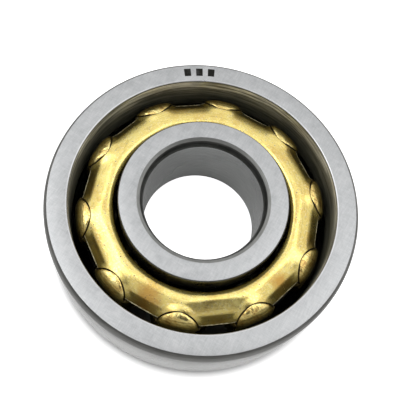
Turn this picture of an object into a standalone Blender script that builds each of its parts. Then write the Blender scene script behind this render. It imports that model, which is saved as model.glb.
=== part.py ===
# Separable single-row ball bearing (magneto type), open side of the outer ring up.
# Metres, +Z up.  Origin: centre of the back face (the face with the outer ring's shoulder).
import math
import bpy
import bmesh
from mathutils import Matrix, Vector

# ---------------------------------------------------------------- driving dimensions
BORE_R = 0.0100            # bore radius (20 mm shaft)
OUTER_R = 0.0260           # outside radius (52 mm housing)
WIDTH = 0.0150             # both rings are equally wide
FACE_CHAMFER_R = 0.0007    # how far the outer corner breaks in along the radius
FACE_CHAMFER_Z = 0.0018    # and along the axis
OPEN_BORE_R = 0.022066     # outer ring's plain bore on the open side = its raceway bottom
SHOULDER_OUT_R = 0.0203    # bore of the outer ring's one shoulder, at the back
SHOULDER_IN_R = 0.01409    # outside radius of the inner ring's two shoulders
BORE_CHAMFER_R = 0.0010
BORE_CHAMFER_Z = 0.0017

BALL_COUNT = 10
BALL_R = 0.0043655         # 11/32 inch balls
RUN_GAP = 0.00025          # running gap drawn between a ball and either raceway
PITCH_R = 0.01745          # balls' centre circle
BALL_Z = WIDTH / 2.0
GROOVE_R = BALL_R + RUN_GAP
CONTACT_ANGLE = math.radians(15.0)

SHEET = 0.00045            # brass sheet thickness
CROWN_R = 0.0051           # section radius of the crown, about the ball circle
CUP_R = 0.0050             # outside radius of the cup over each ball
POCKET_R = 0.0046          # inside radius of the cup
CROWN_IN_R = 0.01485       # inner edge of the crown
EDGE_FLAT_R = 0.01995      # straight outer edges between two balls, across-flats / 2
FACET_SUM = 0.03073        # the 45 degree flats lie where radius + height equals this
CUP_LOW_Z = 0.0059         # the cups grip the balls a little below their equator
CUP_OUT_R = 0.0212         # cups stop here, clear of the outer raceway
CUP_IN_R = 0.0150          # and here, clear of the inner ring
WINDOW_R = 0.00355         # round window in the crown over each ball
WINDOW_TILT = math.radians(58.0)   # the window looks outward, this far from straight up

RING_SEGMENTS = 90
CROWN_SEGMENTS = 70
STEP = 2.0 * math.pi / BALL_COUNT

for old in list(bpy.data.objects):
    bpy.data.objects.remove(old, do_unlink=True)


# ---------------------------------------------------------------- helpers
def metal(name, colour, roughness, metallic=1.0):
    mat = bpy.data.materials.new(name)
    mat.use_nodes = True
    shader = mat.node_tree.nodes["Principled BSDF"]
    shader.inputs["Base Color"].default_value = (*colour, 1.0)
    shader.inputs["Metallic"].default_value = metallic
    shader.inputs["Roughness"].default_value = roughness
    return mat


def add_object(name, bm, mat=None):
    bmesh.ops.recalc_face_normals(bm, faces=bm.faces)
    mesh = bpy.data.meshes.new(name)
    bm.to_mesh(mesh)
    bm.free()
    obj = bpy.data.objects.new(name, mesh)
    bpy.context.scene.collection.objects.link(obj)
    if mat is not None:
        mesh.materials.append(mat)
    return obj


def turned(name, profile, segments, mat=None, phase=0.0):
    """Closed ring from a closed (radius, height) outline turned about Z."""
    bm = bmesh.new()
    rows = []
    for i in range(segments):
        a = phase + 2.0 * math.pi * i / segments
        rows.append([bm.verts.new((r * math.cos(a), r * math.sin(a), z)) for r, z in profile])
    count = len(profile)
    for i in range(segments):
        here, there = rows[i], rows[(i + 1) % segments]
        for j in range(count):
            k = (j + 1) % count
            bm.faces.new((here[j], there[j], there[k], here[k]))
    return add_object(name, bm, mat)


def arc(centre_r, centre_z, radius, start, stop, count):
    """Points on an arc; angles in degrees from the outward direction."""
    points = []
    for i in range(count + 1):
        a = math.radians(start + (stop - start) * i / count)
        points.append((centre_r + radius * math.cos(a), centre_z + radius * math.sin(a)))
    return points


def ball_mesh(bm, centre, radius, around, up, azimuth=0.0):
    """Sphere whose poles lie along the ball circle's tangent at this azimuth."""
    turn = Matrix.Rotation(azimuth, 4, "Z") @ Matrix.Rotation(math.pi / 2.0, 4, "X")
    bmesh.ops.create_uvsphere(bm, u_segments=around, v_segments=up, radius=radius,
                              matrix=Matrix.Translation(centre) @ turn)


def boolean(target, tool, operation):
    mod = target.modifiers.new(operation.lower() + "_" + tool.name, "BOOLEAN")
    mod.operation = operation
    mod.solver = "EXACT"
    mod.object = tool
    tool.hide_render = True
    tool.display_type = "WIRE"


def settle(target):
    """Turn the modifier stack into plain geometry and drop the tools it used."""
    tools = [m.object for m in target.modifiers if m.type == "BOOLEAN"]
    depsgraph = bpy.context.evaluated_depsgraph_get()
    mesh = bpy.data.meshes.new_from_object(target.evaluated_get(depsgraph))
    target.modifiers.clear()
    target.data = mesh
    for tool in tools:
        bpy.data.objects.remove(tool, do_unlink=True)
    bm = bmesh.new()
    bm.from_mesh(mesh)
    bmesh.ops.remove_doubles(bm, verts=bm.verts, dist=0.000004)
    bmesh.ops.dissolve_degenerate(bm, edges=bm.edges, dist=0.000004)
    bm.to_mesh(mesh)
    bm.free()


def smooth(obj, degrees):
    bpy.ops.object.select_all(action="DESELECT")
    obj.select_set(True)
    bpy.context.view_layer.objects.active = obj
    bpy.ops.object.shade_smooth()
    obj.data.set_sharp_from_angle(angle=math.radians(degrees))


steel_ground = metal("ring_steel", (0.62, 0.63, 0.64), 0.32)
steel_ball = metal("ball_steel", (0.70, 0.71, 0.72), 0.08)
brass = metal("cage_brass", (0.83, 0.62, 0.22), 0.30)

# ---------------------------------------------------------------- outer ring
cr, cz = FACE_CHAMFER_R, FACE_CHAMFER_Z
corner = [(cr, 0.0), (0.43 * cr, 0.2 * cz), (0.11 * cr, 0.53 * cz), (0.0, cz)]
shoulder_angle = math.degrees(math.acos((SHOULDER_OUT_R - PITCH_R) / GROOVE_R))
outer_profile = [(OUTER_R - a, b) for a, b in corner]
outer_profile += [(OUTER_R - a, WIDTH - b) for a, b in reversed(corner)]
outer_profile += [(OPEN_BORE_R + 0.0002, WIDTH), (OPEN_BORE_R, WIDTH - 0.0002)]
outer_profile += arc(PITCH_R, BALL_Z, GROOVE_R, 0.0, -shoulder_angle, 6)
outer_profile += [(SHOULDER_OUT_R, 0.0004), (SHOULDER_OUT_R + 0.0004, 0.0)]
outer_ring = turned("outer_ring", outer_profile, RING_SEGMENTS, steel_ground)

# ---------------------------------------------------------------- inner ring
br, bz = BORE_CHAMFER_R, BORE_CHAMFER_Z
bore_corner = [(br, 0.0), (0.45 * br, 0.26 * bz), (0.12 * br, 0.59 * bz), (0.0, bz)]
groove_angle = math.degrees(math.acos((PITCH_R - SHOULDER_IN_R) / GROOVE_R))
inner_profile = [(BORE_R + a, WIDTH - b) for a, b in bore_corner]
inner_profile += [(BORE_R + a, b) for a, b in reversed(bore_corner)]
inner_profile += [(SHOULDER_IN_R - 0.00015, 0.0), (SHOULDER_IN_R, 0.00015)]
inner_profile += arc(PITCH_R, BALL_Z, GROOVE_R, 180.0 + groove_angle, 180.0 - groove_angle, 10)
inner_profile += [(SHOULDER_IN_R, WIDTH - 0.00015), (SHOULDER_IN_R - 0.00015, WIDTH)]
inner_ring = turned("inner_ring", inner_profile, RING_SEGMENTS, steel_ground)

# ---------------------------------------------------------------- cage
# Crown: a sheet rounded over the ball circle, pressed flat at 45 degrees between the balls.
crown_outside = [(CROWN_IN_R, 0.0109), (0.0190, 0.0098), (0.0215, 0.0098)]
crown_outside += arc(PITCH_R, BALL_Z, CROWN_R, 34.0, 118.0, 10)
crown_outside += [(CROWN_IN_R + 0.00005, 0.01180), (CROWN_IN_R, 0.01150)]
cage = turned("ball_cage", crown_outside, CROWN_SEGMENTS, brass)


def flats(name, edge_r, flat_sum, top_z, low_z):
    """Ten-sided block: upright edges at edge_r, then 45 degree flats up to top_z."""
    k = 1.0 / math.cos(STEP / 2.0)
    outline = [(edge_r * k, low_z), (edge_r * k, flat_sum - edge_r),
               ((flat_sum - top_z) * k, top_z), (0.004, top_z), (0.004, low_z)]
    return turned(name, outline, BALL_COUNT)


boolean(cage, flats("flats_outside", EDGE_FLAT_R, FACET_SUM, 0.0138, 0.0080), "INTERSECT")
settle(cage)

crown_inside = [(CROWN_IN_R + SHEET, 0.0090), (0.0235, 0.0090)]
crown_inside += arc(PITCH_R, BALL_Z, CROWN_R - SHEET, 20.0, 116.0, 10)
crown_inside += [(CROWN_IN_R + SHEET, 0.0113)]
hollow = turned("crown_hollow", crown_inside, CROWN_SEGMENTS)
boolean(hollow, flats("flats_inside", 0.0222, FACET_SUM - SHEET * math.sqrt(2.0), 0.0138, 0.0080),
        "INTERSECT")
settle(hollow)
boolean(cage, hollow, "DIFFERENCE")
settle(cage)

bm = bmesh.new()
for i in range(BALL_COUNT):
    a = i * STEP
    axis = Vector((math.sin(WINDOW_TILT) * math.cos(a), math.sin(WINDOW_TILT) * math.sin(a),
                   math.cos(WINDOW_TILT)))
    centre = Vector((PITCH_R * math.cos(a), PITCH_R * math.sin(a), BALL_Z))
    length = 0.0085
    turn = axis.to_track_quat("Z", "Y").to_matrix().to_4x4()
    bmesh.ops.create_cone(bm, cap_ends=True, segments=26, radius1=WINDOW_R, radius2=WINDOW_R,
                          depth=length, matrix=Matrix.Translation(centre + axis * (length / 2.0)) @ turn)
windows = add_object("window_tools", bm)
boolean(cage, windows, "DIFFERENCE")
settle(cage)

# Cups: one over each ball, open towards both rings and at the bottom.
bm = bmesh.new()
for i in range(BALL_COUNT):
    a = i * STEP
    ball_mesh(bm, (PITCH_R * math.cos(a), PITCH_R * math.sin(a), BALL_Z), CUP_R, 24, 12, a)
cups = add_object("cup_bodies", bm, brass)
trim = turned("cup_trim", [(CUP_IN_R, CUP_LOW_Z), (CUP_OUT_R, CUP_LOW_Z), (CUP_OUT_R, 0.0140),
                           (CUP_IN_R, 0.0140)], CROWN_SEGMENTS)
boolean(cups, trim, "INTERSECT")
settle(cups)
boolean(cage, cups, "UNION")
settle(cage)
bm = bmesh.new()
for i in range(BALL_COUNT):
    a = i * STEP
    ball_mesh(bm, (PITCH_R * math.cos(a), PITCH_R * math.sin(a), BALL_Z), POCKET_R, 22, 10, a)
boolean(cage, add_object("pocket_tools", bm), "DIFFERENCE")
settle(cage)

# ---------------------------------------------------------------- balls
for i in range(BALL_COUNT):
    a = i * STEP
    bm = bmesh.new()
    ball_mesh(bm, (0.0, 0.0, 0.0), BALL_R, 20, 12)
    ball = add_object("ball_%02d" % (i + 1), bm, steel_ball)
    ball.location = (PITCH_R * math.cos(a), PITCH_R * math.sin(a), BALL_Z)
    # the ball rolls about an axis leaning outward by the contact angle
    ball.rotation_euler = (0.0, CONTACT_ANGLE, a)

for obj in bpy.data.objects:
    if obj.name.startswith("ball_") and obj.name != "ball_cage":
        smooth(obj, 60.0)
    else:
        smooth(obj, 28.0)
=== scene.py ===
import math

import bpy
import bmesh
from mathutils import Euler, Matrix, Vector


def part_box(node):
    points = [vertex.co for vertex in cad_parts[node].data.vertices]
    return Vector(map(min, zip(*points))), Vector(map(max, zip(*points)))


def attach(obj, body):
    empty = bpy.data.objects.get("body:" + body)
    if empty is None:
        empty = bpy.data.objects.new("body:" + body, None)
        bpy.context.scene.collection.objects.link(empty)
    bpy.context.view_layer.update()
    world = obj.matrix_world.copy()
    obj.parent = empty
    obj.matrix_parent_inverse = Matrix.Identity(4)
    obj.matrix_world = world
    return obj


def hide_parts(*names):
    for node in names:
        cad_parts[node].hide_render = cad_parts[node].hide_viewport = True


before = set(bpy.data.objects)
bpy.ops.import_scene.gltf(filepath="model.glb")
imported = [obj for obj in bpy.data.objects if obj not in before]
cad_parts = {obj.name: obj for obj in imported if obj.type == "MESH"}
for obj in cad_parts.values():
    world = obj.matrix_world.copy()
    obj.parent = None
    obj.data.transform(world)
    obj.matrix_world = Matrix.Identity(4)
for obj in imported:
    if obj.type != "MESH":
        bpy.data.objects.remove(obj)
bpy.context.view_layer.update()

# ---------------------------------------------------------------- sizes, in metres, from the CAD model
low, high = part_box("outer_ring")
WIDTH = high.z - low.z
OUTER_R = high.x
BORE_R = 0.0100
OPEN_BORE_R = 0.022066             # the outer ring's plain wall, on its open side
SHOULDER_OUT_R = 0.0203            # the outer ring's one shoulder, at the back
SHOULDER_IN_R = 0.01409            # the inner ring's two shoulders
BALLS = 10
STEP = 2.0 * math.pi / BALLS
BALL_R = 0.0043655
PITCH_R = 0.01745
BALL_Z = WIDTH / 2.0
GROOVE_R = BALL_R + 0.00025        # the raceways, with the running gap
CONTACT_ANGLE = math.radians(15.0)
SHEET = 0.00045                    # thickness of the cage's sheet
BALL_GAP = 0.00014                 # least gap between the cage and a ball
CUP_R = 0.0050
POCKET_R = 0.0046
CUP_LOW_Z = 0.0059
CUP_HIGH_Z = 0.0140                # above the top of every cup
CUP_OUT_R = 0.0212
CUP_IN_R = 0.0150
CUP_SHEET = 0.00028                # least thickness of a cup over a ball

# ---------------------------------------------------------------- sizes of the finer shapes
RIM_ROUND = 0.00030                # rounding at the top of the outer ring's open wall
CROWN_IN_R = 0.01485
LIP_Z = 0.0114                     # height of the crown at its inner lip,
LIP_TURN = 0.00025                 # which is turned down by this much
CROWN_REACH = 0.0062               # the crown ends within this distance of its lip
CROWN_TOP = 0.01247
RIDGE_R = 0.0161                   # the straight runs between two balls are highest here
EDGE_FLAT_R = 0.01995              # distance of the crown's straight edges from the axis
ROLL = 2.8                         # how tightly the crown rolls over its inner edge
SOFT = 0.00016                     # how softly a run meets the dome over a ball
HIP = 0.36                         # how far the ridge between two runs is rounded, as a share of its distance
# the crown over a ball, and the cup's own top in the window: centre r, z; half axes out, along, up
DOME = (0.0179, 0.00832, 0.00405, 0.0055, 0.00403)
CAP = (0.0186, 0.0090, 0.00272, 0.0044, 0.00318)
DOME_IN_R = 0.0172                 # inside this distance from the axis the dome falls off,
DOME_FALL = 0.6                    # by this much for each metre further in
CAP_POWER = 2.6                    # 2 is an ellipsoid; more is flatter on top and rolls off faster
WINDOW_A = 0.00347                 # half height and half width of the oval window over a ball
WINDOW_B = 0.00370
WINDOW_TILT = math.radians(58.0)
SLIT_OUT = 0.00006                 # the lanced slit reaches this far outside the window's oval,
SLIT_IN = 0.00014                  # and this far inside it
# outward slope in degrees of a straight run, by its distance from the centre in mm
SLOPES = [(16.1, 0.0), (16.65, 14.0), (17.4, 16.0), (18.0, 18.5), (18.28, 22.0), (18.52, 28.0),
          (18.68, 46.0), (19.83, 47.0), (19.88, 10.0), (20.6, 10.0)]

# ---------------------------------------------------------------- places of marks and brown patches
MARK_ANGLES = (116.0, 121.0, 126.0)          # three square marks on the outer ring's face: middles
MARK_HALF = 1.4                              # and half width, in degrees
MARK_IN_R = 0.0232
MARK_OUT_R = 0.0247
BROWN_PATCHES = ((7.52, 0.00276), (9.55, 0.00216))  # place in steps from ball to ball, and radius
BROWN_PATCH_R = 0.0179                             # distance of their middles from the axis


# ---------------------------------------------------------------- node helpers
class Nodes:
    """Short ways to build a node tree."""

    def __init__(self, tree):
        self.tree = tree

    def feed(self, socket, value):
        """Links an output to a socket, or sets the socket to a number or a colour."""
        if isinstance(value, bpy.types.NodeSocket):
            self.tree.links.new(value, socket)
        elif isinstance(value, tuple):
            socket.default_value = (*value, 1.0)
        else:
            socket.default_value = value

    def math(self, op, a, b=None, clamp=False):
        node = self.tree.nodes.new("ShaderNodeMath")
        node.operation = op
        node.use_clamp = clamp
        self.feed(node.inputs[0], a)
        if b is not None:
            self.feed(node.inputs[1], b)
        return node.outputs[0]

    def total(self, a, share_a, b, share_b):
        return self.math("ADD", self.math("MULTIPLY", a, share_a), self.math("MULTIPLY", b, share_b))

    def spread(self, noise, size):
        """Noise about zero."""
        return self.math("MULTIPLY", self.math("SUBTRACT", noise, 0.5), size)

    def ramp(self, fac, stops, ease="LINEAR"):
        node = self.tree.nodes.new("ShaderNodeValToRGB")
        node.color_ramp.interpolation = ease
        elements = node.color_ramp.elements
        while len(elements) < len(stops):
            elements.new(0.5)
        for element, (place, colour) in zip(elements, stops):
            element.position = place
            element.color = (*colour, 1.0)
        self.feed(node.inputs[0], fac)
        return node.outputs["Color"]

    def remap(self, value, from_min, from_max, to_min, to_max, ease="LINEAR"):
        node = self.tree.nodes.new("ShaderNodeMapRange")
        node.interpolation_type = ease
        for socket, v in zip(node.inputs, (value, from_min, from_max, to_min, to_max)):
            self.feed(socket, v)
        return node.outputs[0]

    def mix(self, fac, a, b):
        node = self.tree.nodes.new("ShaderNodeMix")
        node.data_type = "RGBA"
        for k, v in ((0, fac), (6, a), (7, b)):
            self.feed(node.inputs[k], v)
        return node.outputs[2]

    def camera_ray(self):
        return self.tree.nodes.new("ShaderNodeLightPath").outputs["Is Camera Ray"]


class Material(Nodes):
    """A Principled material whose patterns follow the object's own coordinates."""

    def __init__(self, name, metallic=1.0):
        self.mat = bpy.data.materials.new(name)
        self.mat.use_nodes = True
        super().__init__(self.mat.node_tree)
        self.shader = self.tree.nodes["Principled BSDF"]
        self.shader.inputs["Metallic"].default_value = metallic

    def coords(self, scale=(1.0, 1.0, 1.0), turn=0.0):
        """Object coordinates, turned about Z and stretched."""
        tex = self.tree.nodes.new("ShaderNodeTexCoord")
        mapping = self.tree.nodes.new("ShaderNodeMapping")
        mapping.inputs["Scale"].default_value = scale
        mapping.inputs["Rotation"].default_value = (0.0, 0.0, turn)
        self.feed(mapping.inputs["Vector"], tex.outputs["Object"])
        return mapping.outputs[0]

    def polar(self):
        """Distance from the Z axis, angle about it in radians, height, and x and y."""
        tex = self.tree.nodes.new("ShaderNodeTexCoord")
        split = self.tree.nodes.new("ShaderNodeSeparateXYZ")
        self.feed(split.inputs[0], tex.outputs["Object"])
        x, y, z = split.outputs
        return self.length(x, y), self.math("ARCTAN2", y, x), z, x, y

    def length(self, x, y):
        return self.math("SQRT", self.math("ADD", self.math("MULTIPLY", x, x), self.math("MULTIPLY", y, y)))

    def combine(self, x, y, z):
        node = self.tree.nodes.new("ShaderNodeCombineXYZ")
        for socket, v in zip(node.inputs, (x, y, z)):
            self.feed(socket, v)
        return node.outputs[0]

    def noise(self, vector, scale, detail=3.0, rough=0.5, distortion=0.0):
        node = self.tree.nodes.new("ShaderNodeTexNoise")
        for key, v in (("Vector", vector), ("Scale", scale), ("Detail", detail), ("Roughness", rough),
                       ("Distortion", distortion)):
            self.feed(node.inputs[key], v)
        return node.outputs["Fac"]

    def bump(self, height, strength, distance, normal=None):
        node = self.tree.nodes.new("ShaderNodeBump")
        for key, v in (("Height", height), ("Strength", strength), ("Distance", distance)):
            self.feed(node.inputs[key], v)
        if normal is not None:
            self.feed(node.inputs["Normal"], normal)
        return node.outputs[0]

    def done(self, colour, roughness, normal=None):
        """Links the finished patterns to the shader and gives the material."""
        self.feed(self.shader.inputs["Base Color"], colour)
        self.feed(self.shader.inputs["Roughness"], roughness)
        if normal is not None:
            self.feed(self.shader.inputs["Normal"], normal)
        return self.mat


# ---------------------------------------------------------------- steel
def etched_marks(n, radius, angle, height):
    """Mask of the three square marks on the outer ring's upper face."""
    soft_r, soft_angle = 0.00002, 0.05
    inside = n.remap(radius, MARK_IN_R - soft_r, MARK_IN_R + soft_r, 0.0, 1.0)
    outside = n.remap(radius, MARK_OUT_R + soft_r, MARK_OUT_R - soft_r, 0.0, 1.0)
    bars = 0.0
    for middle in MARK_ANGLES:
        off = n.math("ABSOLUTE", n.math("SUBTRACT", angle, math.radians(middle)))
        ends = math.radians(MARK_HALF + soft_angle), math.radians(MARK_HALF - soft_angle)
        bars = n.math("MAXIMUM", bars, n.remap(off, *ends, 0.0, 1.0))
    top = n.remap(height, WIDTH - 0.0002, WIDTH - 0.0001, 0.0, 1.0)
    return n.math("MULTIPLY", n.math("MULTIPLY", bars, top), n.math("MULTIPLY", inside, outside))


def ground_face():
    """Flat ground ring face: pale grey, crossing grinding marks, soft clouds and a generic etched mark."""
    n = Material("ground_face")
    one_way = n.noise(n.coords((1.0, 14.0, 1.0), 0.5), 900.0, 2.0, 0.6)
    other_way = n.noise(n.coords((11.0, 1.0, 1.0), 0.35), 700.0, 2.0, 0.6)
    cloud = n.noise(n.coords(), 620.0, 4.0, 0.65)
    marks = n.total(one_way, 0.5, other_way, 0.5)
    base = n.ramp(n.total(marks, 0.62, cloud, 0.38),
                  [(0.36, (0.362, 0.370, 0.376)), (0.5, (0.440, 0.447, 0.453)),
                   (0.64, (0.517, 0.523, 0.526))])
    radius, angle, z = n.polar()[:3]
    etched = n.math("MULTIPLY", etched_marks(n, radius, angle, z), n.remap(cloud, 0.2, 0.5, 0.8, 1.0))
    return n.done(n.mix(etched, base, (0.018, 0.018, 0.016)), n.remap(cloud, 0.3, 0.7, 0.30, 0.40),
                  n.bump(marks, 0.25, 0.00002))


def open_wall_painted_shade():
    """The outer ring's inner wall with fine turned lines; its tone by height is painted shade and reflection:
    dark further down, light grey near the rim.
    """
    n = Material("open_wall_painted_shade", metallic=0.30)
    radius, angle, z, x, y = n.polar()
    lines = n.noise(n.combine(radius, n.math("MULTIPLY", angle, 0.0010), z), 1900.0, 4.0, 0.75)
    broad = n.noise(n.combine(x, y, z), 130.0, 2.0, 0.5)
    # painted shade and reflection: the wall's tone goes from dark low down to light grey near the rim
    depth = n.math("ADD", n.remap(z, 0.0100, 0.0148, 0.0, 1.0), n.spread(broad, 0.5), clamp=True)
    base = n.ramp(depth, [(0.0, (0.135, 0.136, 0.108)), (0.45, (0.270, 0.266, 0.226)),
                          (0.72, (0.680, 0.672, 0.600)), (1.0, (0.920, 0.915, 0.860))])
    streaks = n.remap(lines, 0.42, 0.58, 0.84, 0.0)
    return n.done(n.mix(streaks, base, (0.045, 0.047, 0.034)), n.remap(broad, 0.3, 0.7, 0.30, 0.42),
                  n.bump(lines, 0.20, 0.00002))


def turned_steel(name, dark, light, rough, lines, cloud=160.0, painted_shade_top=None):
    """Turned or ground surface of revolution: fine lines run round the axis. The optional colour for higher
    up is painted shade, blended in towards the top.
    """
    n = Material(name)
    radius, angle, z, x, y = n.polar()
    fine = n.noise(n.combine(radius, n.math("MULTIPLY", angle, 0.0012), z), lines, 2.0, 0.65)
    broad = n.noise(n.combine(x, y, z), cloud, 2.0, 0.5)
    colour = n.ramp(n.total(fine, 0.60, broad, 0.40), [(0.34, dark), (0.66, light)])
    # painted shade and reflection: darker towards the top, light low down as if the white floor were
    # reflected there
    if painted_shade_top:
        colour = n.mix(n.remap(z, 0.0040, 0.0130, 0.0, 1.0), colour, painted_shade_top)
    return n.done(colour, n.remap(broad, 0.3, 0.7, rough - 0.05, rough + 0.06), n.bump(fine, 0.25, 0.00002))


def ball_steel_painted_dark():
    """Polished steel, coloured dark as painted shade so the balls stay dark in the gaps between the rings,
    with a faint mottle.
    """
    n = Material("polished_ball")
    shade_mottle = n.noise(n.coords(), 420.0, 3.0, 0.6)
    # painted shade: the balls' colour is kept dark
    base = n.ramp(shade_mottle, [(0.3, (0.20, 0.20, 0.18)), (0.7, (0.34, 0.34, 0.32))])
    return n.done(base, n.remap(shade_mottle, 0.3, 0.7, 0.08, 0.20))


# ---------------------------------------------------------------- brass
def cage_brass():
    """Pressed brass, lightly rolled: soft clouds, drawn grain, small specks, browner patches on two runs; the
    fine grain's pale flecks are a painted sparkle.
    """
    n = Material("pressed_brass")
    radius, angle, z, x, y = n.polar()
    grain = n.noise(n.coords(), 2600.0, 2.0, 0.6)
    cloud = n.noise(n.coords(), 300.0, 4.0, 0.6)
    specks = n.noise(n.coords(), 2600.0, 1.0, 0.4)
    along = n.combine(radius, n.math("MULTIPLY", angle, 0.0022), n.math("MULTIPLY", z, 0.4))
    drawn = n.noise(along, 3800.0, 2.0, 0.6)
    base = n.ramp(cloud, [(0.30, (0.760, 0.540, 0.165)), (0.48, (0.860, 0.680, 0.220)),
                          (0.66, (0.920, 0.770, 0.270))])
    base = n.mix(n.remap(drawn, 0.54, 0.72, 0.0, 0.50), base, (0.52, 0.37, 0.11))
    # partly real grain, partly painted sparkle: near-white flecks where the grain would glint
    base = n.mix(n.remap(grain, 0.52, 0.68, 0.0, 0.40), base, (1.0, 0.93, 0.60))
    # browner patches on two of the runs
    browned = 0.0
    for place, size in BROWN_PATCHES:
        dx = n.math("SUBTRACT", x, BROWN_PATCH_R * math.cos(place * STEP))
        dy = n.math("SUBTRACT", y, BROWN_PATCH_R * math.sin(place * STEP))
        away = n.math("ADD", n.length(dx, dy), n.spread(cloud, 0.004))
        browned = n.math("MAXIMUM", browned, n.remap(away, size, size / 3.0, 0.0, 0.85))
    base = n.mix(browned, base, (0.66, 0.37, 0.085))
    speckled = n.ramp(specks, [(0.715, (0.0, 0.0, 0.0)), (0.75, (1.0, 1.0, 1.0))])
    return n.done(n.mix(speckled, base, (0.34, 0.22, 0.08)), n.remap(cloud, 0.3, 0.7, 0.17, 0.30),
                  n.bump(drawn, 0.20, 0.00002, n.bump(grain, 0.42, 0.00003)))


def cup_brass():
    """The cups over the balls: the same brass, browner, scuffed and faintly dented."""
    n = Material("scuffed_brass")
    dents = n.noise(n.coords((1.0, 1.0, 0.6)), 520.0, 3.0, 0.55, 0.8)
    scuffs = n.noise(n.coords((1.0, 5.0, 1.0), 0.9), 700.0, 2.0, 0.6)
    hairs = n.noise(n.coords((1.0, 9.0, 1.0), -0.7), 1300.0, 2.0, 0.6, 0.6)
    tone = n.total(dents, 0.6, scuffs, 0.4)
    base = n.ramp(tone, [(0.34, (0.430, 0.265, 0.090)), (0.44, (0.760, 0.560, 0.190)),
                         (0.58, (0.930, 0.780, 0.320))])
    base = n.mix(n.remap(hairs, 0.60, 0.68, 0.0, 0.60), base, (0.30, 0.19, 0.06))
    return n.done(base, n.remap(tone, 0.35, 0.65, 0.26, 0.13),
                  n.bump(scuffs, 0.3, 0.00004, n.bump(dents, 0.7, 0.00018)))


def brass_edge_painted_highlight():
    """The thin pale line along each straight edge of the crown, a painted highlight."""
    n = Material("brass_edge_painted_highlight", metallic=0.6)
    highlight_mottle = n.noise(n.coords(), 1700.0, 3.0, 0.65)
    base = n.ramp(highlight_mottle, [(0.40, (0.32, 0.27, 0.13)), (0.58, (0.80, 0.74, 0.50))])
    return n.done(base, n.remap(highlight_mottle, 0.3, 0.7, 0.62, 0.42))


def painted_slit_shade():
    """Sheared rims of the brass and walls of its slits, coloured near black as painted shade."""
    n = Material("sheared_edge")
    shade_mottle = n.noise(n.coords(), 1500.0, 2.0, 0.6)
    base = n.ramp(shade_mottle, [(0.35, (0.025, 0.020, 0.010)), (0.65, (0.085, 0.062, 0.025))])
    return n.done(base, n.remap(shade_mottle, 0.3, 0.7, 0.35, 0.55))


# ---------------------------------------------------------------- mesh helpers
def solid(name, bm):
    """A new object of a closed bmesh, its faces pointing out."""
    bmesh.ops.recalc_face_normals(bm, faces=bm.faces)
    mesh = bpy.data.meshes.new(name)
    bm.to_mesh(mesh)
    bm.free()
    obj = bpy.data.objects.new(name, mesh)
    bpy.context.scene.collection.objects.link(obj)
    return obj


def revolve(outline, segments, first=0.0):
    """Closed turned shape of (radius, height, material of the band that follows), first segments round."""
    bm = bmesh.new()
    rows = []
    for i in range(segments):
        a = 2.0 * math.pi * (i + first) / segments
        rows.append([bm.verts.new((r * math.cos(a), r * math.sin(a), z)) for r, z, _ in outline])
    for i in range(segments):
        here, there = rows[i], rows[(i + 1) % segments]
        for j, (_, _, material) in enumerate(outline):
            k = (j + 1) % len(outline)
            face = bm.faces.new((here[j], there[j], there[k], here[k]))
            face.material_index = material
    return bm


def dress(obj, materials, sharp):
    """Gives a mesh its materials, and shades it smooth up to an angle in degrees."""
    for material in materials:
        obj.data.materials.append(material)
    obj.data.shade_smooth()
    obj.data.set_sharp_from_angle(angle=math.radians(sharp))


def arc(centre_r, centre_z, radius, start, stop, count):
    """Points on an arc, with angles in degrees."""
    points = []
    for i in range(count + 1):
        a = math.radians(start + (stop - start) * i / count)
        points.append((centre_r + radius * math.cos(a), centre_z + radius * math.sin(a)))
    return points


def soften(points, radius, steps=3):
    """Rounds every corner of a closed outline of (r, z, material) by a small radius."""
    out = []
    for i, corner in enumerate(points):
        before, after = points[i - 1], points[(i + 1) % len(points)]
        back = Vector((before[0] - corner[0], before[1] - corner[1]))
        ahead = Vector((after[0] - corner[0], after[1] - corner[1]))
        if back.angle(ahead, math.pi) > math.radians(165.0):
            out.append(corner)
            continue
        reach = min(radius, 0.4 * back.length, 0.4 * ahead.length)
        middle = Vector(corner[:2])
        start = middle + back.normalized() * reach
        end = middle + ahead.normalized() * reach
        for k in range(steps + 1):
            t = k / steps
            q = start * (1 - t) ** 2 + middle * (2 * t * (1 - t)) + end * t ** 2
            out.append((q.x, q.y, before[2] if k < steps / 2.0 else corner[2]))
    return out


# ---------------------------------------------------------------- rings
FACE, CORNER, RIM, RACE, BORE, EDGE, WALL, DARK, BEVEL = range(9)
STEELS = [
    ground_face(),
    # painted shade: the corners' turned steel is coloured dark
    turned_steel("turned_corner_painted_shade", (0.094, 0.094, 0.088), (0.184, 0.183, 0.174), 0.34, 5200.0),
    # the ring's outside: pale, with painted shade darkening it towards the top
    turned_steel("ground_outside", (0.58, 0.58, 0.570), (0.66, 0.66, 0.650), 0.26, 4200.0,
                 painted_shade_top=(0.26, 0.26, 0.252)),
    # painted shade: the raceways' steel is coloured dark, as shade falls between the parts
    turned_steel("race_painted_shade", (0.120, 0.121, 0.098), (0.22, 0.22, 0.185), 0.27, 3600.0),
    turned_steel("ground_bore", (0.330, 0.338, 0.334), (0.490, 0.498, 0.490), 0.28, 3000.0, cloud=90.0),
    # painted highlight: pale steel for the thin bright lines at the open wall's rim and below the bore's
    # corner
    turned_steel("steel_edge_painted_highlight", (0.55, 0.555, 0.56), (0.66, 0.665, 0.67), 0.28, 5200.0),
    open_wall_painted_shade(),
    # painted shade: the darkest steel, for the steep band of the bore's corner
    turned_steel("bore_corner_painted_shade", (0.062, 0.064, 0.058), (0.132, 0.134, 0.124), 0.36, 5200.0),
    # painted shade: mid-dark steel for the outer band of the bore's corner
    turned_steel("turned_bevel_painted_shade", (0.190, 0.193, 0.185), (0.310, 0.312, 0.300), 0.36, 5200.0),
]


def ring(name, outline, segments, node):
    obj = solid(name, revolve(outline, segments))
    dress(obj, STEELS, 32.0)
    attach(obj, node)
    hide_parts(node)


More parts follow.
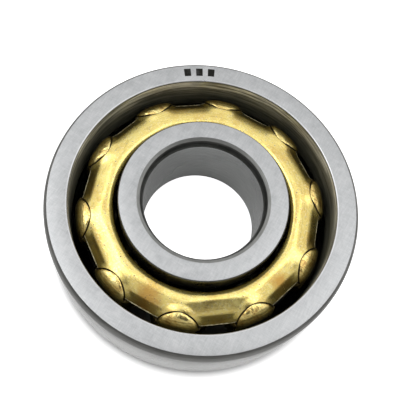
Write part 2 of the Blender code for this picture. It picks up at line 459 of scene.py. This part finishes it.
def outer_outline():
    """The outer ring's section, from the back face round the outside, over the top and down the open wall."""
    corner = [(0.0007, 0.0), (0.00048, 0.00013), (0.0003, 0.00036), (0.00017, 0.00072), (0.00006, 0.0012),
              (0.0, 0.0018)]
    outline = [(OUTER_R - a, b, CORNER) for a, b in corner[:-1]]
    outline += [(OUTER_R, corner[-1][1], RIM)]
    outline += [(OUTER_R - a, WIDTH - b, CORNER) for a, b in reversed(corner[1:])]
    outline += [(OUTER_R - corner[0][0], WIDTH, FACE)]
    for t in (0, 15, 30, 45, 60, 75, 90):
        a = math.radians(t)
        # the first half of the rim's rounding carries the painted highlight, the second half the painted
        # shade
        band = EDGE if t < 45 else RACE if t < 90 else WALL
        r = OPEN_BORE_R + RIM_ROUND - RIM_ROUND * math.sin(a)
        z = WIDTH - RIM_ROUND + RIM_ROUND * math.cos(a)
        outline += [(r, z, band)]
    lean = math.degrees(math.acos((SHOULDER_OUT_R - PITCH_R) / GROOVE_R))
    outline += [(r, z, RACE) for r, z in arc(PITCH_R, BALL_Z, GROOVE_R, 0.0, -lean, 24)]
    outline += [(SHOULDER_OUT_R, 0.0004, CORNER), (SHOULDER_OUT_R + 0.0004, 0.0, FACE)]
    return outline


def inner_outline():
    """The inner ring's section, from the top face down the bore, along the back and up its groove."""
    corner = [(0.00106, 0.0), (0.00052, 0.00030), (0.00034, 0.00062), (0.00016, 0.0010), (0.00005, 0.0014),
              (0.0, 0.0017)]
    bands = [BEVEL, CORNER, DARK, DARK, DARK]
    # the bright line below the corner is a painted highlight in pale steel
    line, small = 0.00014, 0.00015       # the bright line below the corner, and the shoulders' corners
    outline = [(BORE_R + a, WIDTH - b, band) for (a, b), band in zip(corner, bands)]
    outline += [(BORE_R, WIDTH - corner[-1][1], EDGE), (BORE_R, WIDTH - corner[-1][1] - line, BORE)]
    outline += [(BORE_R + a, b, CORNER) for a, b in reversed(corner[1:])]
    outline += [(BORE_R + corner[0][0], 0.0, FACE)]
    outline += [(SHOULDER_IN_R - small, 0.0, CORNER), (SHOULDER_IN_R, small, RIM)]
    lean = math.degrees(math.acos((PITCH_R - SHOULDER_IN_R) / GROOVE_R))
    outline += [(r, z, RACE) for r, z in arc(PITCH_R, BALL_Z, GROOVE_R, 180.0 + lean, 180.0 - lean, 28)]
    outline += [(SHOULDER_IN_R, WIDTH - small, CORNER), (SHOULDER_IN_R - small, WIDTH, FACE)]
    return outline


ring("outer_ring_ground", soften(outer_outline(), 0.00006), 360, "outer_ring")
ring("inner_ring_ground", soften(inner_outline(), 0.00005), 320, "inner_ring")


# ---------------------------------------------------------------- the crown's surface
RUN_PIECE = 0.00001                # run_heights holds one height for each of these, outward from RIDGE_R


def run_heights():
    """Heights of a straight run, summed from its slopes."""
    heights = [CROWN_TOP]
    for k in range(450):
        x = 16.1 + 0.01 * (k + 0.5)
        for (x0, t0), (x1, t1) in zip(SLOPES, SLOPES[1:]):
            if x0 <= x <= x1:
                slope = math.radians(t0 + (t1 - t0) * (x - x0) / (x1 - x0))
                heights.append(heights[-1] - RUN_PIECE * math.tan(slope))
                break
    return heights


RUN_HEIGHTS = run_heights()


def across_run(phi):
    """Distance across a rounded ten-sided outline, for a radius of one; phi from the middle of a side."""
    if math.tan(abs(phi)) <= (1.0 - HIP) * math.tan(STEP / 2.0):
        return math.cos(phi)
    d = STEP / 2.0 - abs(phi)
    c = (1.0 - HIP) / math.cos(STEP / 2.0)
    return 1.0 / (c * math.cos(d) + math.sqrt(HIP ** 2 - (c * math.sin(d)) ** 2))


def crown_height(r, phi):
    """Height of the crown's outer surface; phi is measured from the middle of a straight run."""
    across = r * across_run(phi)
    if across >= RIDGE_R:
        place = min((across - RIDGE_R) / RUN_PIECE, len(RUN_HEIGHTS) - 2.0)
        k = int(place)
        run = RUN_HEIGHTS[k] + (RUN_HEIGHTS[k + 1] - RUN_HEIGHTS[k]) * (place - k)
    else:
        u = min(max((r - CROWN_IN_R) / (RIDGE_R / across_run(phi) - CROWN_IN_R), 0.0), 1.0)
        run = LIP_Z + (CROWN_TOP - LIP_Z) * (1.0 - (1.0 - u) ** ROLL) ** (1.0 / ROLL)
    d = STEP / 2.0 - abs(phi)
    centre_r, centre_z, out, along, up = DOME
    off = ((r * math.cos(d) - centre_r) / out) ** 2 + (r * math.sin(d) / along) ** 2
    dome = centre_z + up * math.sqrt(max(1.0 - off, 0.0)) - max(DOME_IN_R - r, 0.0) * DOME_FALL
    gap = run - dome
    return (run + dome) / 2.0 + math.sqrt(gap * gap / 4.0 + SOFT ** 2 / 4.0) - SOFT / 4.0


def window_clear(r, z, d):
    """Distance outside the oval window over the nearest ball, at angle d from it; negative inside."""
    x, y, up = r * math.cos(d) - PITCH_R, r * math.sin(d), z - BALL_Z
    if x * math.sin(WINDOW_TILT) + up * math.cos(WINDOW_TILT) < 0.0:
        return 1.0
    w = x * math.cos(WINDOW_TILT) - up * math.sin(WINDOW_TILT)
    return WINDOW_A * (math.hypot(w / WINDOW_A, y / WINDOW_B) - 1.0)


def cusp_angle():
    """Angle from the middle of a run to the corner where the window meets the straight edge."""
    lo, hi = 0.0, STEP / 2.0
    for _ in range(40):
        mid = (lo + hi) / 2.0
        r = EDGE_FLAT_R / math.cos(mid)
        if window_clear(r, crown_height(r, mid), STEP / 2.0 - mid) > 0.0:
            lo = mid
        else:
            hi = mid
    return lo


def crown_path(phi, count=240):
    """The crown's surface at one angle, from its inner lip to the window or the straight edge."""
    path = [(CROWN_IN_R, LIP_Z - LIP_TURN * (1.0 - k / 3.0)) for k in range(3)]
    last = None
    for k in range(count + 1):
        r = CROWN_IN_R + CROWN_REACH * (k / count) ** 1.6
        z = crown_height(r, phi)
        here = min(window_clear(r, z, STEP / 2.0 - abs(phi)), EDGE_FLAT_R - r * math.cos(phi))
        if here < 0.0:
            r0, z0 = path[-1]
            f = last / (last - here)
            path.append((r0 + (r - r0) * f, z0 + (z - z0) * f))
            break
        path.append((r, z))
        last = here
    return path


def crown_column(phi, rows):
    """Points along the crown's path at one angle, closer together towards its outer rim."""
    path = crown_path(phi)
    run = [0.0]
    for p, q in zip(path, path[1:]):
        run.append(run[-1] + math.hypot(q[0] - p[0], q[1] - p[1]))
    points, k = [], 0
    for j in range(rows + 1):
        goal = run[-1] * (1.0 - (1.0 - j / rows) ** 1.25)
        while k < len(run) - 2 and run[k + 1] < goal:
            k += 1
        f = min((goal - run[k]) / max(run[k + 1] - run[k], 1e-12), 1.0)
        (r0, z0), (r1, z1) = path[k], path[k + 1]
        points.append((r0 + (r1 - r0) * f, z0 + (z1 - z0) * f))
    return points


def off_ball(p):
    """The point itself, or moved away from the nearest ball until it clears it."""
    a = round(math.atan2(p.y, p.x) / STEP) * STEP
    middle = Vector((PITCH_R * math.cos(a), PITCH_R * math.sin(a), BALL_Z))
    away = p - middle
    return p if away.length >= BALL_R + BALL_GAP else middle + away.normalized() * (BALL_R + BALL_GAP)


# ---------------------------------------------------------------- the crown
ROWS = 44                          # from lip to rim
EDGE_COLUMNS = 24                  # from the middle of a run to the cusp
WINDOW_COLUMNS = 26                # from the cusp to the middle of a window
# the brass itself, painted shade for sheared rims and slits, painted highlight for straight edges
BRASS, SLIT_SHADE, EDGE_HIGHLIGHT = range(3)


def crown_angles(cusp):
    """Angles of one step's columns, from the middle of its run."""
    half = [cusp * k / EDGE_COLUMNS for k in range(EDGE_COLUMNS)]
    half += [cusp + (STEP / 2.0 - cusp) * (k / WINDOW_COLUMNS) for k in range(WINDOW_COLUMNS)]
    return [-STEP / 2.0] + [-p for p in reversed(half[1:])] + half


def crown_skins(bm, grid):
    """Vertices of the sheet's outer and inner side, column by column."""
    outer, inner = [], []
    for i, column in enumerate(grid):
        before, after = grid[i - 1], grid[(i + 1) % len(grid)]
        top, under = [], []
        for j, p in enumerate(column):
            along = column[min(j + 1, ROWS)] - column[max(j - 1, 0)]
            normal = (after[j] - before[j]).cross(along).normalized()
            pitch = Vector((p.x, p.y, 0.0)).normalized() * PITCH_R
            if normal.dot(p - Vector((pitch.x, pitch.y, BALL_Z))) < 0.0:
                normal = -normal
            top.append(bm.verts.new(off_ball(p)))
            under.append(bm.verts.new(off_ball(p - normal * SHEET)))
        outer.append(top)
        inner.append(under)
    return outer, inner


def crown_mesh():
    """The crown's sheet as a closed bmesh, with its straight edges marked for a painted highlight and its
    sheared window rims for painted shade.
    """
    cusp = cusp_angle()
    angles = crown_angles(cusp)
    columns = {round(abs(p), 9): crown_column(abs(p), ROWS) for p in angles}
    grid = []
    for s in range(BALLS):
        for p in angles:
            a = (s + 0.5) * STEP + p
            column = columns[round(abs(p), 9)]
            grid.append([Vector((r * math.cos(a), r * math.sin(a), z)) for r, z in column])
    bm = bmesh.new()
    outer, inner = crown_skins(bm, grid)
    for i in range(len(grid)):
        k = (i + 1) % len(grid)
        pair = (abs(angles[i % len(angles)]), abs(angles[k % len(angles)]))
        for j in range(ROWS):
            skin = bm.faces.new((outer[i][j], outer[k][j], outer[k][j + 1], outer[i][j + 1]))
            # the last rows along each straight edge are given the painted highlight
            if j >= ROWS - 2 and max(pair) <= cusp + 1e-9:
                skin.material_index = EDGE_HIGHLIGHT
            bm.faces.new((inner[i][j], inner[i][j + 1], inner[k][j + 1], inner[k][j]))
        rim_face = bm.faces.new((outer[i][-1], outer[k][-1], inner[k][-1], inner[i][-1]))
        # the window's sheared rim is given the painted shade
        if min(pair) >= cusp - 1e-9:
            rim_face.material_index = SLIT_SHADE
        bm.faces.new((outer[i][0], inner[i][0], inner[k][0], outer[k][0]))
    return bm


crown = solid("cage_crown_sheet", crown_mesh())
slit_shade_brass = painted_slit_shade()
dress(crown, [cage_brass(), slit_shade_brass, brass_edge_painted_highlight()], 40.0)
rolled = crown.modifiers.new("rolled_rim", "BEVEL")
rolled.width = 0.00008
rolled.segments = 2
rolled.limit_method = "ANGLE"
rolled.angle_limit = math.radians(55.0)
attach(crown, "ball_cage")
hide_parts("ball_cage")


# ---------------------------------------------------------------- cups
CENTRE = Vector((PITCH_R, 0.0, BALL_Z))      # of the first ball; the other cups are turned from this one


def sphere(name, radius):
    bm = bmesh.new()
    bmesh.ops.create_uvsphere(bm, u_segments=96, v_segments=64, radius=radius,
                              matrix=Matrix.Translation(CENTRE) @ Matrix.Rotation(math.pi / 2, 4, "X"))
    return solid(name, bm)


def cut(target, tool, operation):
    """Applies a Boolean to the target's mesh and removes the tool."""
    mod = target.modifiers.new("cut", "BOOLEAN")
    mod.operation = operation
    mod.solver = "EXACT"
    mod.object = tool
    graph = bpy.context.evaluated_depsgraph_get()
    mesh = bpy.data.meshes.new_from_object(target.evaluated_get(graph))
    target.modifiers.clear()
    target.data = mesh
    bpy.data.objects.remove(tool, do_unlink=True)


def under_crown(p):
    """Whether p lies low enough to stay below the crown, except inside the window."""
    r, turn = math.hypot(p.x, p.y), abs(math.atan2(p.y, p.x))
    margin = 0.00010 + 1.6 * window_clear(r, p.z, turn)
    return p.z < crown_height(r, STEP / 2.0 - turn) - min(margin, 0.00052)


def cap_reach(d):
    """Distance from the ball's centre to the cap's surface along the unit direction d."""
    centre_r, centre_z, out, along, up = CAP
    lo, hi = BALL_R + 0.00034, 0.0070
    for _ in range(18):
        mid = (lo + hi) / 2.0
        x, y, z = PITCH_R + d.x * mid - centre_r, d.y * mid, BALL_Z + d.z * mid - centre_z
        size = abs(x / out) ** CAP_POWER + abs(y / along) ** CAP_POWER + abs(z / up) ** CAP_POWER
        if size < 1.0 and under_crown(CENTRE + d * mid):
            lo = mid
        else:
            hi = mid
    return lo


def cup_reach(d):
    """Distance from the ball's centre to the cup's surface: a sphere low down, and the cap above."""
    t = min(max((d.z - 0.15) / 0.45, 0.0), 1.0)
    t = t * t * (3.0 - 2.0 * t)
    return CUP_R + (cap_reach(d) - CUP_R) * t


def pocket_reach(d):
    """Distance from the ball's centre to the pocket's wall, which leaves the cup's sheet all round it."""
    return max(BALL_R + BALL_GAP, min(POCKET_R, cup_reach(d) - CUP_SHEET))


def reshape(obj, reach):
    """Moves every vertex along its direction from the ball's centre."""
    for v in obj.data.vertices:
        d = (v.co - CENTRE).normalized()
        v.co = CENTRE + d * reach(d)


def oval(name, grow, depth):
    """A prism of the window's oval, grown a little, that points out through the window."""
    middle = 0.0055                # its middle's distance from the ball's centre
    cos, sin = math.cos(WINDOW_TILT), math.sin(WINDOW_TILT)
    tilt = Matrix(((cos, 0.0, sin), (0.0, 1.0, 0.0), (-sin, 0.0, cos))).to_4x4()
    bm = bmesh.new()
    bmesh.ops.create_cone(bm, cap_ends=True, segments=160, radius1=1.0, radius2=1.0, depth=depth,
                          matrix=Matrix.Translation(CENTRE + Vector((sin, 0.0, cos)) * middle) @ tilt @
                          Matrix.Diagonal((WINDOW_A + grow, WINDOW_B + grow, 1.0, 1.0)))
    return solid(name, bm)


def slit_tool():
    """The lanced slit between the cup and the crown's window, open above only."""
    slit = oval("slit", SLIT_OUT, 0.006)
    cut(slit, oval("core", -SLIT_IN, 0.009), "DIFFERENCE")
    size, open_above = 0.02, 0.0027      # the slit is kept above this height over the ball's centre
    bm = bmesh.new()
    bmesh.ops.create_cube(bm, size=size,
                          matrix=Matrix.Translation((PITCH_R, 0.0, BALL_Z + open_above - size / 2.0)))
    cut(slit, solid("keep_low", bm), "DIFFERENCE")
    return slit


def mend(mesh):
    """Merges near-double points, and takes out points along one edge, which would make folded slivers."""
    bm = bmesh.new()
    bm.from_mesh(mesh)
    bmesh.ops.remove_doubles(bm, verts=bm.verts, dist=0.000001)
    bmesh.ops.dissolve_verts(bm, verts=[v for v in bm.verts if len(v.link_edges) == 2])
    bm.to_mesh(mesh)
    bm.free()


def in_slit(p):
    """Whether a point of the cup is on the slit's walls or floor."""
    edge = window_clear(math.hypot(p.x, p.y), p.z, abs(math.atan2(p.y, p.x)))
    if not -0.00022 < edge < 0.00010 or p.z <= BALL_Z + 0.0026:
        return False
    away = p - CENTRE
    return away.length < cup_reach(away.normalized()) - 0.00006


def first_cup():
    cup = sphere("cage_cup_01", CUP_R)
    reshape(cup, cup_reach)
    trim = [(CUP_IN_R, CUP_LOW_Z, 0), (CUP_OUT_R, CUP_LOW_Z, 0), (CUP_OUT_R, CUP_HIGH_Z, 0),
            (CUP_IN_R, CUP_HIGH_Z, 0)]
    cut(cup, solid("trim", revolve(trim, 360, first=0.5)), "INTERSECT")
    pocket = sphere("pocket", POCKET_R)
    reshape(pocket, pocket_reach)
    cut(cup, pocket, "DIFFERENCE")
    cut(cup, slit_tool(), "DIFFERENCE")
    mend(cup.data)
    cup.data.materials.clear()
    dress(cup, [cup_brass(), slit_shade_brass], 35.0)
    # the slit's walls and floor are given the painted shade
    for face in cup.data.polygons:
        face.material_index = SLIT_SHADE if in_slit(face.center) else BRASS
    return cup


cup = first_cup()
for i in range(BALLS):
    obj = cup
    if i:
        # the turn is in the mesh, so that the scuffs differ from cup to cup
        obj = bpy.data.objects.new("cage_cup_%02d" % (i + 1), cup.data.copy())
        obj.data.transform(Matrix.Rotation(i * STEP, 4, "Z"))
        bpy.context.scene.collection.objects.link(obj)
    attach(obj, "ball_cage")


# ---------------------------------------------------------------- balls
bm = bmesh.new()
bmesh.ops.create_icosphere(bm, subdivisions=5, radius=BALL_R)
first_ball = solid("polished_ball_01", bm)
first_ball.data.materials.append(ball_steel_painted_dark())
first_ball.data.shade_smooth()
for i in range(BALLS):
    a = i * STEP
    node = "ball_%02d" % (i + 1)
    ball = first_ball
    if i:
        ball = bpy.data.objects.new("polished_" + node, first_ball.data)
        bpy.context.scene.collection.objects.link(ball)
    ball.location = (PITCH_R * math.cos(a), PITCH_R * math.sin(a), BALL_Z)
    ball.rotation_euler = (0.4 * i, CONTACT_ANGLE, a)
    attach(ball, node)
    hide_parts(node)


# ---------------------------------------------------------------- floor
def pale_floor():
    """White floor that shines a little by itself, more in a band round the ring, except where the ring stands
    on it, where its colour is dark as a painted shadow.
    """
    n = Material("pale_floor", metallic=0.0)
    grain = n.noise(n.coords(), 60.0, 2.0, 0.5)
    radius = n.polar()[0]
    in_bore = n.remap(radius, 0.0112, 0.0106, 0.0, 1.0)
    shining = n.math("MAXIMUM", n.remap(radius, 0.0257, 0.0278, 0.0, 1.0), in_bore, clamp=True)
    # painted shadow: under the ring the floor's colour is dark
    bare = n.math("MAXIMUM", n.remap(radius, 0.0250, 0.0256, 0.0, 1.0), in_bore, clamp=True)
    # painted light: a band of floor round the ring glows more, lightening the ring's outside
    near = n.math("MULTIPLY", n.remap(radius, 0.0255, 0.0260, 0.0, 1.0),
                  n.remap(radius, 0.0268, 0.0300, 0.38, 0.0))
    shown = n.math("ADD", n.remap(grain, 0.3, 0.7, 0.62, 0.70), n.math("MULTIPLY", in_bore, 0.30))
    lift = n.math("ADD", n.math("ADD", near, 0.06), n.math("MULTIPLY", n.camera_ray(), shown))
    n.feed(n.shader.inputs["Emission Color"], (1.0, 1.0, 1.0))
    n.feed(n.shader.inputs["Emission Strength"], n.math("MULTIPLY", shining, lift))
    return n.done(n.mix(bare, (0.30, 0.30, 0.29), (0.90, 0.90, 0.90)), 0.9)


bm = bmesh.new()
bmesh.ops.create_grid(bm, x_segments=1, y_segments=1, size=1.2)
floor = solid("floor", bm)
floor.location = (0.0, 0.0, -0.0001)
floor.data.materials.append(pale_floor())


# ---------------------------------------------------------------- light
CAMERA_PLACE = Vector((0.010471, -0.037777, 0.108714))
# brightness of the sky, by how far it lies towards the camera's side: 1 is there, -1 is opposite
SKY = [(-1.0, 0.98), (-0.5, 1.00), (-0.2, 0.93), (0.0, 0.88), (0.2, 0.78), (0.4, 0.54), (0.7, 0.50),
       (1.0, 0.58)]


def toward(n, direction):
    """How closely a sky direction points along the given one, -1 to 1."""
    tex = n.tree.nodes.new("ShaderNodeTexCoord")
    dot = n.tree.nodes.new("ShaderNodeVectorMath")
    dot.operation = "DOT_PRODUCT"
    dot.inputs[1].default_value = Vector(direction).normalized()
    n.feed(dot.inputs[0], tex.outputs["Generated"])
    return dot.outputs["Value"]


def blob(n, zenith, azimuth, inner, outer, outside, inside):
    """Soft round patch of sky. Angles in degrees: its place, and where it is full and where it ends."""
    z, a = math.radians(zenith), math.radians(azimuth)
    middle = (math.sin(z) * math.cos(a), math.sin(z) * math.sin(a), math.cos(z))
    return n.remap(toward(n, middle), math.cos(math.radians(outer)), math.cos(math.radians(inner)), outside,
                   inside, ease="SMOOTHERSTEP")


world = bpy.data.worlds.new("studio")
bpy.context.scene.world = world
world.use_nodes = True
n = Nodes(world.node_tree)
side = n.remap(toward(n, (CAMERA_PLACE.x, CAMERA_PLACE.y, 0.0)), -1.0, 1.0, 0.0, 1.0)
sky = n.ramp(side, [((c + 1.0) / 2.0, (v, v, v)) for c, v in SKY], ease="B_SPLINE")
lamps = n.math("ADD", blob(n, 24.0, 180.0, 3.0, 20.0, 0.0, 2.0), blob(n, 21.0, 53.0, 3.0, 17.0, 0.0, 1.4))
flag = blob(n, 13.5, -26.0, 6.0, 17.0, 1.0, 0.06)
lit = n.math("MULTIPLY", n.math("ADD", sky, lamps), flag)
background = world.node_tree.nodes["Background"]
n.feed(background.inputs["Color"], n.mix(n.camera_ray(), lit, (1.0, 1.0, 1.0)))
background.inputs["Strength"].default_value = 1.0

# ---------------------------------------------------------------- camera
camera_data = bpy.data.cameras.new("camera")
camera_data.lens = 56.067
camera_data.sensor_width = 36.0
camera_data.clip_start = 0.001
camera_data.clip_end = 10.0
camera = bpy.data.objects.new("camera", camera_data)
bpy.context.scene.collection.objects.link(camera)
camera_turn = Euler([math.radians(t) for t in (21.816, -5.1297, 28.9897)])
camera.matrix_world = Matrix.LocRotScale(CAMERA_PLACE, camera_turn, None)
bpy.context.scene.camera = camera
bpy.context.scene.view_settings.view_transform = "Standard"
